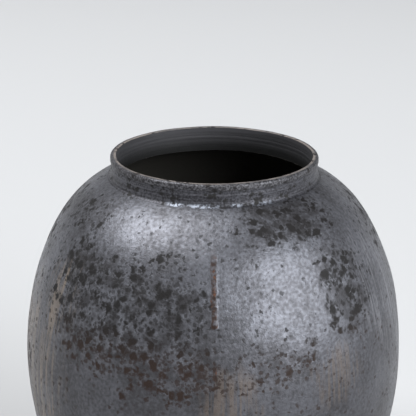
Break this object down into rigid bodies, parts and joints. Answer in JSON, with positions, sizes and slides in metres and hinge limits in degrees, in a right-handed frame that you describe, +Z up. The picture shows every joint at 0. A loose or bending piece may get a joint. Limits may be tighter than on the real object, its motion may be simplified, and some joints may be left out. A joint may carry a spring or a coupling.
{
  "type": "clay jar",
  "caption": "Round-bodied black clay jar with a short upright collar and a rounded, paler lip, standing on a small flat foot.",
  "frame": {"origin": "centre of the ring that the jar stands on, on the ground plane", "axes": "+Z up along the jar's axis; +X to the right and +Y away as the jar is shown"},
  "size_m": [0.32, 0.32, 0.3542],
  "materials": {
    "body_clay": "burnished, mottled, semi-gloss",
    "lip_clay": "rubbed matte",
    "pad_clay": "matte"
  },
  "bodies": {
    "root": {"base_pad": "pad_clay", "foot_coil": "body_clay", "lower_wall_coil": "body_clay", "belly_coil": "body_clay", "upper_wall_coil": "body_clay", "lower_shoulder_coil": "body_clay", "upper_shoulder_coil": "body_clay", "neck_collar": "body_clay", "lip_coil": "lip_clay"}
  },
  "joints": []
}
